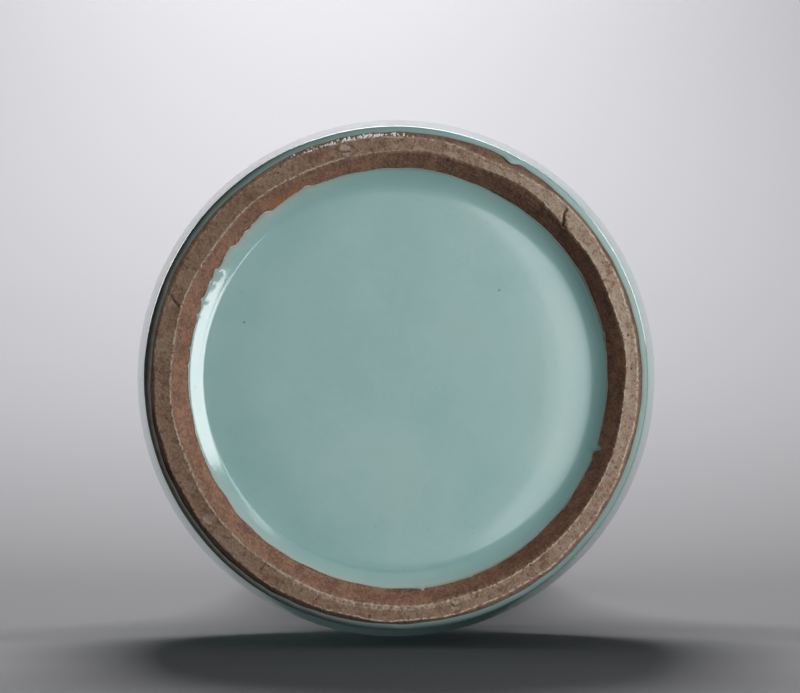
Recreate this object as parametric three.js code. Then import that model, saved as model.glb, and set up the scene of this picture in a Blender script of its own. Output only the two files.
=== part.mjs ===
// A celadon vase as a potter builds one: a turned foot ring, a lower body, an upper body and a neck of
// stoneware, luted together with slip and covered by three glazes: outside, inside and in the recess of
// the foot. Millimetres, +Z up. The origin is the centre of the face that the vase stands on.

import * as THREE from 'three';

// Foot
const footRadius = 80; // outer edge of the standing face
const standingWidth = 5.3; // flat width of the standing face
const footBevel = 1.2; // bare bevel outside the standing face, as wide as it is high
const innerBevel = 0.5; // worn edge inside the standing face, as wide as it is high
const recessLean = 38; // degrees by which the recess wall leans in as it rises
const recessDepth = 12.6; // standing face to the clay of the recess floor
const baseThickness = 8.4; // clay between the recess and the inside

// Outside of the clay
const bellyRadius = 93.5; // at the widest
const bellyHeight = 165; // standing face to the widest
const shoulderRise = 84; // widest to the waist of the neck
const shoulderFullness = 0.72; // share of that rise in which the shoulder stays wide
const neckSweep = 0.22; // share of that rise in which the neck spreads into the shoulder
const neckRadius = 36; // at the waist
const mouthRise = 51; // waist of the neck to the crest of the glazed lip
const neckLength = 0.5; // share of that rise in which the neck stays upright
const lipOverhang = 15; // waist of the neck to the middle of the lip
const flareAngle = 55; // degrees from upright at which the lip ends
const flareReach = 0.35; // share of the mouth's rise that the flare takes

// Thickness of the clay wall
const footWall = 8;
const bellyWall = 6.5;
const neckWall = 5.5;
const lipWall = 4.8;
const floorCove = 18; // radius inside, between the floor and the wall

// Luted joints
const slip = 0.8; // film of slip between two sections
const bellyScarf = 4; // how much higher the bevelled belly joint is inside than outside
const neckScarf = 3; // the same at the neck joint
const neckJointDrop = 7; // waist of the neck down to its joint

// Glaze
const glaze = 0.8; // thickness of each coat
const coatClearance = 0.05; // between the clay and a coat
const footBead = 1.45; // thickness of the rolled edge where the outer glaze stops above the foot
const footGlazeLine = 1.9; // standing face to that edge
const footGlazeWave = 0.35; // how far that edge wanders up and down
const recessGlazeReach = 5.9; // how far the recess glaze comes down the recess wall
const recessGlazeWave = 0.7; // how far its edge wanders
const recessPool = 14; // width of the cove where the recess glaze pools
const slowWave = { share: 0.6, turns: 3, phase: 0.8 }; // how a glaze edge wanders as it runs round the foot
const quickWave = { share: 0.4, turns: 8, phase: 2.1 };

// Facets
const segments = 40; // round the axis
const bodySteps = 4; // up each section
const shoulderSteps = 8;
const neckSteps = 5;
const roundSteps = 3; // round a cove or a bead
const bisections = 40; // halvings used to find a height on a curve

const point = (x, y) => new THREE.Vector2(x, y);
const moved = (start, direction, distance) => start.clone().addScaledVector(direction, distance);
const radians = THREE.MathUtils.degToRad;

// The outside of the clay, as curves of radius and height that meet in line: body, shoulder and mouth.
const coat = coatClearance + glaze;
const neckHeight = bellyHeight + shoulderRise;
const height = neckHeight + mouthRise;
const lipAlong = point(Math.sin(radians(flareAngle)), Math.cos(radians(flareAngle)));
const lipOut = point(lipAlong.y, -lipAlong.x);
const lipCentre = point(neckRadius + lipOverhang, height - coat - lipWall / 2);
const lipEdge = moved(lipCentre, lipOut, lipWall / 2);
const bevelTop = point(footRadius + footBevel, footBevel);
const belly = point(bellyRadius, bellyHeight);
const waist = point(neckRadius, neckHeight);
const flareRise = lipEdge.y - neckHeight;
const outside = [
  new THREE.QuadraticBezierCurve(bevelTop, point(bellyRadius, (footBevel + bellyHeight) / 2), belly),
  new THREE.CubicBezierCurve(
    belly,
    point(bellyRadius, bellyHeight + shoulderFullness * shoulderRise),
    point(neckRadius, neckHeight - neckSweep * shoulderRise),
    waist,
  ),
  new THREE.CubicBezierCurve(
    waist,
    point(neckRadius, neckHeight + neckLength * flareRise),
    moved(lipEdge, lipAlong, -flareReach * flareRise),
    lipEdge,
  ),
];
const atFoot = 0;
const atLip = outside.length;

// A place u on the outside runs from atFoot to atLip, one unit for each curve. Depth goes into the clay.
function skin(u, depth) {
  const index = Math.min(Math.floor(u), outside.length - 1);
  const along = outside[index].getTangent(u - index);
  return moved(outside[index].getPoint(u - index), point(-along.y, along.x), depth);
}

function wallAt(u) {
  const walls = [footWall, bellyWall, neckWall, lipWall];
  const index = Math.min(Math.floor(u), walls.length - 2);
  return THREE.MathUtils.lerp(walls[index], walls[index + 1], u - index);
}

const clayOutside = (u) => skin(u, 0);
const clayInside = (u) => skin(u, wallAt(u));
const seatOutside = (u) => skin(u, -coatClearance); // the face of a coat that lies on the clay
const seatInside = (u) => skin(u, wallAt(u) + coatClearance);
const glazeOutside = (u) => skin(u, -coat);
const glazeInside = (u) => skin(u, wallAt(u) + coat);

// The place at which a surface reaches a height
function placeAt(surface, wanted) {
  let low = atFoot;
  let high = atLip;
  for (let i = 0; i < bisections; i++) {
    const middle = (low + high) / 2;
    if (surface(middle).y < wanted) low = middle;
    else high = middle;
  }
  return (low + high) / 2;
}

const spread = (from, to, steps) =>
  Array.from({ length: steps + 1 }, (_, i) => THREE.MathUtils.lerp(from, to, i / steps));

// A luted joint: the four places where its film of slip meets the outside and the inside of the wall
function jointAt(level, scarf) {
  return {
    outerLow: placeAt(clayOutside, level),
    outerHigh: placeAt(clayOutside, level + slip),
    innerLow: placeAt(clayInside, level + scarf),
    innerHigh: placeAt(clayInside, level + scarf + slip),
  };
}

const bellyJoint = jointAt(bellyHeight, bellyScarf);
const neckJoint = jointAt(neckHeight - neckJointDrop, neckScarf);

// The foot ring's own lines: its joint with the body lies flat in the plane of the recess floor.
const ringTop = recessDepth - slip;
const standingInner = footRadius - standingWidth;
const wallDown = point(Math.sin(radians(recessLean)), -Math.cos(radians(recessLean)));
const wallFoot = point(standingInner - innerBevel, innerBevel);
const ringTopInner = moved(wallFoot, wallDown, -(ringTop - innerBevel) / Math.cos(radians(recessLean)));
const recessCorner = point(ringTopInner.x, recessDepth);
const ringTopPlace = placeAt(clayOutside, ringTop);
const ringTopOuter = clayOutside(ringTopPlace);
const bodyFootPlace = placeAt(clayOutside, recessDepth);
const bodyFoot = clayOutside(bodyFootPlace);

// Places up each section, outside and inside
const floorHeight = recessDepth + baseThickness;
const coveTop = placeAt(clayInside, floorHeight + floorCove);
const outerPlaces = {
  lower: spread(bodyFootPlace, bellyJoint.outerLow, bodySteps),
  upper: spread(bellyJoint.outerHigh, neckJoint.outerLow, shoulderSteps),
  neck: spread(neckJoint.outerHigh, atLip, neckSteps),
};
const innerPlaces = {
  lower: spread(coveTop, bellyJoint.innerLow, bodySteps),
  upper: spread(bellyJoint.innerHigh, neckJoint.innerLow, shoulderSteps),
  neck: spread(neckJoint.innerHigh, atLip, neckSteps),
};

// The floor inside and its cove, up to where the wall begins, for the clay or for the glaze on it
function floorLine(surface, level) {
  const end = surface(coveTop);
  const cove = new THREE.QuadraticBezierCurve(point(end.x - floorCove, level), point(end.x, level), end);
  return [point(0, level), ...cove.getPoints(roundSteps).slice(0, -1)];
}

// The lip: round its end from one angle to another, measured from the outside of the wall
function lipRound(radius, from, to) {
  return spread(from, to, roundSteps).map((angle) =>
    moved(moved(lipCentre, lipOut, radius * Math.cos(angle)), lipAlong, radius * Math.sin(angle)),
  );
}

const crest = Math.PI / 2 + radians(flareAngle);
const lipOutside = (radius) => lipRound(radius, 0, crest).slice(1);
const lipInside = (radius) => lipRound(radius, Math.PI, crest).slice(1);

// A rolled glaze edge: a quarter round on a surface, from the edge up to the full thickness of the glaze
function bead(edge, out, along, thickness) {
  return spread(0, Math.PI / 2, roundSteps).map((angle) =>
    moved(moved(edge, out, thickness * Math.sin(angle)), along, thickness * (1 - Math.cos(angle))),
  );
}

// How far a glaze edge has wandered at an angle, from -1 to 1
const swing = (wave, angle) => wave.share * Math.sin(wave.turns * angle + wave.phase);
const wander = (angle) => swing(slowWave, angle) + swing(quickWave, angle);

const vase = new THREE.Group();
const stoneware = { color: '#7d6250', roughness: 0.85 };
const lutingSlip = { color: '#8a7362', roughness: 0.9 };
const celadon = { color: '#86a8a2', roughness: 0.12 };

// Turns an outline about the axis and adds it to the vase. A wave moves its points as they go round.
function turn(name, outline, finish, wave) {
  const onAxis = outline[0].x === 0;
  const closed = onAxis ? outline : [...outline, outline[0]];
  const profile = THREE.ShapeUtils.isClockWise(outline) ? closed.toReversed() : closed;
  const geometry = new THREE.LatheGeometry(profile, segments);
  if (wave) {
    const position = geometry.attributes.position;
    for (let i = 0; i < position.count; i++) {
      if (!wave.points.includes(profile[i % profile.length])) continue;
      const angle = ((Math.floor(i / profile.length) % segments) * 2 * Math.PI) / segments;
      const shift = wave.along.clone().multiplyScalar(wave.size * wander(angle));
      position.setX(i, position.getX(i) + shift.x * Math.sin(angle));
      position.setY(i, position.getY(i) + shift.y);
      position.setZ(i, position.getZ(i) + shift.x * Math.cos(angle));
    }
  }
  const mesh = new THREE.Mesh(geometry, new THREE.MeshStandardMaterial({ ...finish, metalness: 0 }));
  mesh.name = name;
  mesh.rotation.x = Math.PI / 2;
  vase.add(mesh);
}

// Foot ring: standing face, bevel, outer wall, seat for the body, and the leaning wall of the recess
turn(
  'foot_ring',
  [point(standingInner, 0), point(footRadius, 0), bevelTop, ringTopOuter, ringTopInner, wallFoot],
  stoneware,
);

turn('foot_slip', [ringTopInner, ringTopOuter, bodyFoot, recessCorner], lutingSlip);

// Lower body: the floor and the wall up to the widest place
turn(
  'lower_body',
  [
    point(0, recessDepth),
    recessCorner,
    ...outerPlaces.lower.map(clayOutside),
    ...innerPlaces.lower.map(clayInside).reverse(),
    ...floorLine(clayInside, floorHeight).reverse(),
  ],
  stoneware,
);

// Slip between two sections: a film as deep as the wall, bevelled as the rims are
function lute(name, joint) {
  turn(
    name,
    [
      clayOutside(joint.outerLow),
      clayOutside(joint.outerHigh),
      clayInside(joint.innerHigh),
      clayInside(joint.innerLow),
    ],
    lutingSlip,
  );
}

lute('belly_slip', bellyJoint);

// Upper body: from the widest place over the shoulder to the foot of the neck
turn(
  'upper_body',
  [...outerPlaces.upper.map(clayOutside), ...innerPlaces.upper.map(clayInside).reverse()],
  stoneware,
);

lute('neck_slip', neckJoint);

// Neck, with its flare and rounded lip
turn(
  'neck',
  [
    ...outerPlaces.neck.map(clayOutside),
    ...lipOutside(lipWall / 2),
    ...lipInside(lipWall / 2).reverse().slice(1),
    ...innerPlaces.neck.map(clayInside).reverse(),
  ],
  stoneware,
);

// Outer glaze: from its rolled edge above the foot to the crest of the lip
const outerAlong = ringTopOuter.clone().sub(bevelTop).normalize();
const outerNormal = point(outerAlong.y, -outerAlong.x);
const outerLine = moved(bevelTop, outerAlong, (footGlazeLine - footBevel) / outerAlong.y);
const outerBead = bead(moved(outerLine, outerNormal, coatClearance), outerNormal, outerAlong, footBead);
const outerRun = [...outerPlaces.lower, ...outerPlaces.upper, ...outerPlaces.neck];
turn(
  'outer_glaze',
  [
    ...outerBead.toReversed(),
    seatOutside(ringTopPlace),
    ...outerRun.map(seatOutside),
    ...lipOutside(lipWall / 2 + coatClearance),
    ...lipOutside(lipWall / 2 + coat).reverse(),
    ...outerRun.map(glazeOutside).reverse(),
  ],
  celadon,
  { points: outerBead, along: outerAlong, size: footGlazeWave },
);

// Inner glaze: from the middle of the floor to the crest of the lip
const innerRun = [...innerPlaces.lower, ...innerPlaces.upper, ...innerPlaces.neck];
turn(
  'inner_glaze',
  [
    ...floorLine(seatInside, floorHeight + coatClearance),
    ...innerRun.map(seatInside),
    ...lipInside(lipWall / 2 + coatClearance),
    ...lipInside(lipWall / 2 + coat).reverse(),
    ...innerRun.map(glazeInside).reverse(),
    ...floorLine(glazeInside, floorHeight + coat).reverse(),
  ],
  celadon,
);

// Recess glaze: over the floor of the recess, pooled in its corner and down the wall to a wandering edge
const wallIn = point(wallDown.y, -wallDown.x);
const seatTop = moved(ringTopInner, wallIn, coatClearance);
const seatFloor = recessDepth - coatClearance;
const baseLine = moved(seatTop, wallDown, (recessGlazeReach - slip) / Math.cos(radians(recessLean)));
const baseBead = bead(baseLine, wallIn, wallDown.clone().negate(), glaze);
const poolFloor = recessDepth - coat;
const poolStart = baseBead.at(-1);
const poolCorner = moved(poolStart, wallDown, (poolStart.y - poolFloor) / Math.cos(radians(recessLean)));
const poolEnd = point(poolCorner.x - recessPool, poolFloor);
const pool = new THREE.QuadraticBezierCurve(poolStart, poolCorner, poolEnd);
turn(
  'base_glaze',
  [
    point(0, seatFloor),
    point(seatTop.x, seatFloor),
    seatTop,
    ...baseBead,
    ...pool.getPoints(roundSteps).slice(1),
    point(0, poolFloor),
  ],
  celadon,
  { points: baseBead, along: wallDown, size: recessGlazeWave },
);

export default vase;
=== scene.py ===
import math

import bpy
import numpy as np
from mathutils import Matrix, Vector, noise


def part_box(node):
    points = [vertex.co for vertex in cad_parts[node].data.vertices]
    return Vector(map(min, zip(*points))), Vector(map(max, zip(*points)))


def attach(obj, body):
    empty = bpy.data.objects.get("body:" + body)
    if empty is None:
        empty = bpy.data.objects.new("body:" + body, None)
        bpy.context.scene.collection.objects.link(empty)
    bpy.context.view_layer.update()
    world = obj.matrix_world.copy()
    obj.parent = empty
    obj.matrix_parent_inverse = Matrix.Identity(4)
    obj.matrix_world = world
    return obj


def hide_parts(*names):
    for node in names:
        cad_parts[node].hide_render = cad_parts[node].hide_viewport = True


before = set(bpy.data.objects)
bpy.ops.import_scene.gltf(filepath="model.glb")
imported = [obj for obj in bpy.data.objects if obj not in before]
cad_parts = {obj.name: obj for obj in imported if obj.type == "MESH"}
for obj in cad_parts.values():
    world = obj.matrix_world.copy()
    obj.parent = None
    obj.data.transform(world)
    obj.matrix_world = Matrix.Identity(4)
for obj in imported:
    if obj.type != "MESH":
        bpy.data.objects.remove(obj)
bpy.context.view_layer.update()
mm = 0.001
print("frame:", len(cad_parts), "nodes")

# how the vase lies in the photo: on its side, foot to the camera
shot = {
    "photo": (800, 693),  # pixels
    "axisPixel": (396, 378),  # where the vase's axis meets the photo
    "footPixels": 243.5,  # radius of the standing face in the photo
    "footRadius": 80,  # mm, the same radius
    "distance": 1.1,  # m, camera to standing face
    "sensor": 36,  # mm
    "rightSide": 70,  # azimuth of the side that lies to the right, degrees
}
footRadius = shot["footRadius"]
turnRight = math.radians(shot["rightSide"])
photoRight = Vector((math.sin(turnRight), -math.cos(turnRight), 0))
photoUp = Vector((-math.cos(turnRight), -math.sin(turnRight), 0))
alongAxis = Vector((0, 0, 1))


def lying(x, y, z):  # metres to the right, up and away as the vase lies
    return photoRight * x + photoUp * y + alongAxis * z


def facing(where, towards):  # stands at one place and looks along a direction, its top to the photo's top
    back = -towards.normalized()
    side = photoUp.cross(back).normalized()
    turned = Matrix((side, back.cross(side), back)).transposed()
    return Matrix.Translation(where) @ turned.to_4x4()


def clearSelection():
    if bpy.context.object and bpy.context.object.mode != "OBJECT":
        bpy.ops.object.mode_set(mode="OBJECT")
    bpy.ops.object.select_all(action="DESELECT")


def setMode(mode):
    bpy.ops.object.mode_set(mode=mode)


def selectAll():
    bpy.ops.mesh.select_all(action="SELECT")


# camera
metresPerPixel = footRadius * mm / shot["footPixels"]
focalPixels = shot["distance"] / metresPerPixel
missRight = shot["photo"][0] / 2 - shot["axisPixel"][0]
missUp = shot["axisPixel"][1] - shot["photo"][1] / 2
clearSelection()
bpy.ops.object.camera_add()
camera = bpy.context.object
camera.data.sensor_width = shot["sensor"]
camera.data.lens = focalPixels * shot["sensor"] / shot["photo"][0]
camera.matrix_world = facing(lying(0, 0, -shot["distance"]), lying(missRight, missUp, focalPixels))
bpy.context.scene.camera = camera
print("camera: lens %.1f mm" % camera.data.lens)


# materials
class Wire:  # a socket that can stand in a sum
    def __init__(self, tree, socket=None):
        self.tree = tree
        self.socket = socket

    def node(self, kind, settings=None, inputs=None, output=0):
        made = self.tree.nodes.new(kind)
        for key, value in (settings or {}).items():
            setattr(made, key, value)
        for key, value in (inputs or {}).items():
            if isinstance(value, Wire):
                self.tree.links.new(value.socket, made.inputs[key])
            else:
                made.inputs[key].default_value = value
        return Wire(self.tree, made.outputs[output] if made.outputs else None)

    def maths(self, operation, *values):
        return self.node("ShaderNodeMath", {"operation": operation}, dict(enumerate(values)))

    def vectors(self, operation, inputs, output=0):
        return self.node("ShaderNodeVectorMath", {"operation": operation}, inputs, output)

    def z(self):
        return self.node("ShaderNodeSeparateXYZ", None, {0: self}, "Z")

    def clamped(self):
        return self.node("ShaderNodeMath", {"operation": "ADD", "use_clamp": True}, {0: self, 1: 0.0})

    def step(self, low, high):  # 0 below low, 1 above high, smooth between
        limits = {"Value": self, "From Min": low, "From Max": high}
        return self.node("ShaderNodeMapRange", {"interpolation_type": "SMOOTHSTEP"}, limits)

    def blend(self, first, second):  # colours, by this factor
        return self.node("ShaderNodeMix", {"data_type": "RGBA"}, {0: self, 6: first, 7: second}, 2)

    def __add__(self, other):
        return self.maths("ADD", self, other)

    def __sub__(self, other):
        return self.maths("SUBTRACT", self, other)

    def __rsub__(self, other):
        return self.maths("SUBTRACT", other, self)

    def __mul__(self, other):
        return self.maths("MULTIPLY", self, other)

    def __lt__(self, other):
        return self.maths("LESS_THAN", self, other)


def newMaterial(name):
    material = bpy.data.materials.new(name)
    material.use_nodes = True
    material.node_tree.nodes.clear()
    return material, Wire(material.node_tree)


def shade(tree, shader):
    tree.node("ShaderNodeOutputMaterial", None, {"Surface": shader})


def ceramic(tree, colour, roughness, relief, strength):  # relief in mm
    bump = tree.node("ShaderNodeBump", None, {"Strength": strength, "Distance": mm, "Height": relief})
    inputs = {"Base Color": colour, "Roughness": roughness, "IOR": 1.5, "Normal": bump}
    shade(tree, tree.node("ShaderNodeBsdfPrincipled", None, inputs))


def objectPlace(tree):
    return tree.node("ShaderNodeTexCoord", None, None, "Object")


def painted(tree, name):  # a value that was painted on the piece
    return tree.node("ShaderNodeAttribute", {"attribute_name": name}, None, "Fac")


def cloud(tree, place, size, detail=2.0, roughness=0.5):  # noise whose lumps are about size mm
    inputs = {"Vector": place, "Scale": 1 / (size * mm), "Detail": detail, "Roughness": roughness}
    return tree.node("ShaderNodeTexNoise", None, inputs)


def specks(tree, place, apart, size, share):  # round specks of size mm, one in so many cells
    cells = {"Vector": place, "Scale": 1 / (apart * mm)}
    voronoi = tree.node("ShaderNodeTexVoronoi", {"feature": "F1"}, cells)
    chosen = Wire(tree.tree, voronoi.socket.node.outputs["Color"])
    drawn = tree.node("ShaderNodeSeparateColor", None, {0: chosen})
    return (1 - voronoi.step(size / apart * 0.35, size / apart * 0.65)) * (drawn < share)


def ringPlace(tree, place, stretch):  # coordinates that run along the turning marks
    flat = tree.vectors("MULTIPLY", {0: place, 1: (1, 1, 0)})
    radius = tree.vectors("LENGTH", {0: flat}, "Value")
    heading = tree.vectors("NORMALIZE", {0: flat})
    scale = {0: heading, "Scale": clay["turnedRadius"] * mm / stretch}
    around = tree.vectors("SCALE", scale)
    across = tree.node("ShaderNodeCombineXYZ", None, {"Z": radius + place.z()})
    return tree.vectors("ADD", {0: around, 1: across})


clay = {
    "flat": (0.140, 0.074, 0.045, 1),
    "flatPale": (0.265, 0.195, 0.135, 1),
    "crust": (0.44, 0.365, 0.28, 1),  # worn, dusty places, and painted sheen on the right of the standing face
    "rust": (0.19, 0.085, 0.054, 1),  # reddish mottles
    "wall": (0.125, 0.064, 0.042, 1),
    "wallPale": (0.275, 0.145, 0.092, 1),
    "flash": (0.33, 0.105, 0.03, 1),  # where the glaze edge drew iron
    "scar": (0.40, 0.31, 0.255, 1),
    # painted shade in cracks and on the bevel, and dark stains and pits
    "dark": (0.03, 0.017, 0.011, 1),
    "roughness": 0.88,
    "turnedRadius": 75,  # mm, where the drag lines have their own length
}


def stonewareFinish():
    material, tree = newMaterial("stoneware")
    place = objectPlace(tree)
    onWall = place.z().step(0.35 * mm, 1.1 * mm)
    grit = cloud(tree, place, 0.85, 2, 0.7)
    lumps = cloud(tree, place, 2.4, 3, 0.65)
    patches = cloud(tree, place, 11, 2)
    drags = cloud(tree, ringPlace(tree, place, 7), 0.9, 3, 0.65)
    pits = specks(tree, place, 2.3, 0.8, 0.14)
    wear = painted(tree, "wear")
    scar = painted(tree, "scar")
    crack = painted(tree, "crack")
    flash = painted(tree, "flash")
    flat = (lumps * 0.5 + patches * 0.3 + grit * 0.4).step(0.46, 0.74).blend(clay["flat"], clay["flatPale"])
    flat = (lumps.step(0.52, 0.62) * 0.5).blend(flat, clay["rust"])
    wall = (drags * 0.45 + lumps * 0.2 + grit * 0.55).step(0.46, 0.74).blend(clay["wall"], clay["wallPale"])
    colour = onWall.blend(flat, wall)
    # dust on worn places, and painted sheen that makes the standing face paler towards the right
    dusty = (wear * 1.6 + lumps * 1.1 + grit * 0.6 - 1.35).clamped()
    colour = dusty.blend(colour, clay["crust"])
    mottled = (grit * 0.35 + lumps * 0.65).step(0.51, 0.60) * wear.step(0.2, 0.5) * 0.85
    colour = mottled.blend(colour, clay["rust"])
    colour = (scar * (grit * 1.6 - 0.1)).clamped().blend(colour, clay["scar"])
    colour = (flash * lumps.step(0.3, 0.6)).clamped().blend(colour, clay["flash"])
    colour = (pits * (1 - onWall * 0.8) * 0.55).blend(colour, clay["dark"])
    # dark stains and pits, and painted shade inside the cracks and on the bevel
    colour = (crack * 0.85).clamped().blend(colour, clay["dark"])
    relief = grit * 0.3 + lumps * 0.25 + drags * onWall * 0.4 - pits * 0.25
    ceramic(tree, colour, clay["roughness"], relief, 0.9)
    return material


celadon = {
    "glaze": (0.245, 0.410, 0.395, 1),
    "glazePale": (0.280, 0.440, 0.423, 1),
    "straw": (0.30, 0.43, 0.385, 1),  # faint warm smudges
    "pool": (0.150, 0.320, 0.305, 1),  # thick glaze, and painted shadow on the right side of the recess glaze and along its crease
    "thin": (0.17, 0.125, 0.09, 1),  # clay showing through the edge, and painted shade on the shaded sides of the glaze edges
    "haze": (0.40, 0.435, 0.385, 1),  # paler and warmer towards the edge
    "speck": (0.06, 0.07, 0.06, 1),
}


def celadonFinish():
    material, tree = newMaterial("celadon_glaze")
    place = objectPlace(tree)
    drifts = cloud(tree, place, 26, 2)
    mottle = cloud(tree, place, 2.6, 2)
    smudges = cloud(tree, place, 34, 1)
    ripples = cloud(tree, place, 13, 1)
    peel = cloud(tree, place, 1.5, 1)
    thin = painted(tree, "thin")
    pool = painted(tree, "pool")
    haze = painted(tree, "haze")
    colour = (drifts * 0.75 + mottle * 0.25).step(0.32, 0.68).blend(celadon["glaze"], celadon["glazePale"])
    colour = (smudges.step(0.58, 0.75) * 0.35).blend(colour, celadon["straw"])
    # thick glaze darker, and painted shadow on the recess glaze
    colour = (pool * 0.9).clamped().blend(colour, celadon["pool"])
    colour = haze.blend(colour, celadon["haze"])
    # clay showing through thin glaze, and painted shade where glaze edges are darkened on their shaded
    # sides
    colour = (thin * (mottle + 0.5)).clamped().blend(colour, celadon["thin"])
    colour = (specks(tree, place, 3.4, 0.45, 0.16) * 0.35).blend(colour, celadon["speck"])
    colour = (specks(tree, place, 11, 0.8, 0.18) * 0.6).blend(colour, celadon["speck"])
    relief = ripples * 0.018 + peel * 0.001
    ceramic(tree, colour, mottle * 0.05 + 0.085, relief, 1.0)
    return material


slip = {"colour": (0.255, 0.171, 0.122, 1), "pale": (0.31, 0.22, 0.165, 1), "roughness": 0.9}


def slipFinish():
    material, tree = newMaterial("luting_slip")
    place = objectPlace(tree)
    lumps = cloud(tree, place, 1.2, 3)
    colour = lumps.step(0.35, 0.65).blend(slip["colour"], slip["pale"])
    ceramic(tree, colour, slip["roughness"], lumps * 0.2, 0.6)
    return material


stoneware = stonewareFinish()
celadonGlaze = celadonFinish()
lutingSlip = slipFinish()
print("materials: 3")


# lines of the vase, in mm of radius and height
def lowest(node):
    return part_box(node)[0] / mm


def highest(node):
    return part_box(node)[1] / mm


thrown = {
    "footBevel": 1.2,  # bare bevel outside the standing face
    "shoulderFullness": 0.72,  # share of the shoulder's rise in which it stays wide
    "neckSweep": 0.22,
    "neckRadius": 36,
    "neckJointDrop": 7,  # waist of the neck down to its joint
    "neckLength": 0.5,
    "lipOverhang": 15,
    "flareAngle": 55,  # degrees from upright at which the lip ends
    "flareReach": 0.35,
    "walls": (8, 6.5, 5.5, 4.8),  # clay at the foot, belly, neck and lip
    "floorCove": 18,
    "glaze": 0.8,
    "clearance": 0.05,  # between the clay and a coat
    "slip": 0.8,
    "bellyScarf": 4,
    "neckScarf": 3,
    "halvings": 40,
}
clearance = thrown["clearance"]
coat = thrown["glaze"] + clearance
bellyRadius = highest("outer_glaze").x - coat
bellyHeight = lowest("belly_slip").z
neckHeight = lowest("neck_slip").z + thrown["neckJointDrop"]
shoulderRise = neckHeight - bellyHeight
vaseHeight = highest("outer_glaze").z
recessDepth = highest("foot_slip").z
ringTop = highest("foot_ring").z
floorHeight = lowest("inner_glaze").z - clearance
flare = math.radians(thrown["flareAngle"])
lipAlong = np.array((math.sin(flare), math.cos(flare)))
lipOut = np.array((lipAlong[1], -lipAlong[0]))
lipWall = thrown["walls"][3]
crest = math.pi / 2 + flare  # round the lip, where the two coats meet
neckRadius = thrown["neckRadius"]
lipCentre = np.array((neckRadius + thrown["lipOverhang"], vaseHeight - coat - lipWall / 2))
lipEdge = lipCentre + lipOut * lipWall / 2
flareRise = lipEdge[1] - neckHeight
bevelTop = np.array((footRadius + thrown["footBevel"], thrown["footBevel"]))
outside = [  # control points of body, shoulder and mouth
    [bevelTop, (bellyRadius, (bevelTop[1] + bellyHeight) / 2), (bellyRadius, bellyHeight)],
    [
        (bellyRadius, bellyHeight),
        (bellyRadius, bellyHeight + thrown["shoulderFullness"] * shoulderRise),
        (neckRadius, neckHeight - thrown["neckSweep"] * shoulderRise),
        (neckRadius, neckHeight),
    ],
    [
        (neckRadius, neckHeight),
        (neckRadius, neckHeight + thrown["neckLength"] * flareRise),
        lipEdge - lipAlong * thrown["flareReach"] * flareRise,
        lipEdge,
    ],
]
atLip = len(outside)


def skin(place, depth=0.0):  # a place from 0 at the foot to atLip, and a depth into the clay
    index = min(int(place), atLip - 1)
    points = [np.array(p, float) for p in outside[index]]
    while len(points) > 2:
        points = [a + (b - a) * (place - index) for a, b in zip(points, points[1:])]
    along = (points[1] - points[0]) / np.linalg.norm(points[1] - points[0])
    spot = points[0] + (points[1] - points[0]) * (place - index)
    return spot + depth * np.array((-along[1], along[0]))


def wallAt(place):
    return np.interp(place, range(atLip + 1), thrown["walls"])


def clayInside(place):
    return skin(place, wallAt(place))


def placeAt(surface, level):  # where a surface reaches a height
    low, high = 0.0, float(atLip)
    for _ in range(thrown["halvings"]):
        middle = (low + high) / 2
        if surface(middle)[1] < level:
            low = middle
        else:
            high = middle
    return low


def lipRound(radius, start, end, count):
    spots = []
    for angle in np.linspace(start, end, count):
        spots.append(lipCentre + radius * (lipOut * math.cos(angle) + lipAlong * math.sin(angle)))
    return spots


coveTop = placeAt(clayInside, floorHeight + thrown["floorCove"])


def floorLine(surface, level, count):  # from the axis over the floor to the top of its cove
    end = surface(coveTop)
    start = np.array((end[0] - thrown["floorCove"], level))
    corner = np.array((end[0], level))
    spots = [np.array((0.0, level))]
    for t in np.linspace(0, 1, count):
        spots.append((1 - t) ** 2 * start + 2 * t * (1 - t) * corner + t**2 * end)
    return spots


# turned pieces
turning = {"weld": 1e-6, "sharp": 50, "wedges": 30}  # m, degrees, and slices that make the whole turn


def drawLine(name, stations):  # a new object drawn point by point, left in edit mode
    clearSelection()
    bpy.ops.mesh.primitive_plane_add(size=mm)
    piece = bpy.context.object
    piece.name = name
    piece.data.name = name
    setMode("EDIT")
    selectAll()
    bpy.ops.mesh.merge(type="CENTER")
    bpy.ops.transform.translate(value=stations[0])
    for here, there in zip(stations, stations[1:]):
        bpy.ops.mesh.extrude_vertices_move(TRANSFORM_OT_translate={"value": there - here})
    selectAll()
    return piece


def turnPiece(name, outline, segments):  # spins an outline round the axis, a wedge first and then the rest
    stations = [Vector((spot[0] * mm, 0, spot[1] * mm)) for spot in outline]
    if outline[0][0] > 0:
        stations.append(stations[0])
    piece = drawLine(name, stations)
    bpy.ops.mesh.remove_doubles(threshold=turning["weld"])
    wedges = turning["wedges"]
    share = math.tau / wedges
    axis = {"center": (0, 0, 0), "axis": (0, 0, 1)}
    bpy.ops.mesh.spin(steps=segments // wedges, angle=share, **axis)
    selectAll()
    bpy.ops.mesh.spin(steps=wedges - 1, angle=math.tau - share, dupli=True, **axis)
    selectAll()
    bpy.ops.mesh.remove_doubles(threshold=turning["weld"])
    bpy.ops.mesh.normals_make_consistent(inside=False)
    setMode("OBJECT")
    bpy.ops.object.shade_smooth_by_angle(angle=math.radians(turning["sharp"]))
    return piece


def dress(piece, material, slotName, *nodes):
    piece.data.materials.clear()
    piece.data.materials.append(material)
    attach(piece, "root")
    if nodes:
        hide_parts(*nodes)
    print("piece:", piece.name, len(piece.data.vertices), "vertices")


def paint(piece, **layers):  # values for the finishes, one for each point
    for name, values in layers.items():
        layer = piece.data.attributes.new(name, "FLOAT", "POINT")
        layer.data.foreach_set("value", np.asarray(values, np.float32))


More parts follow.
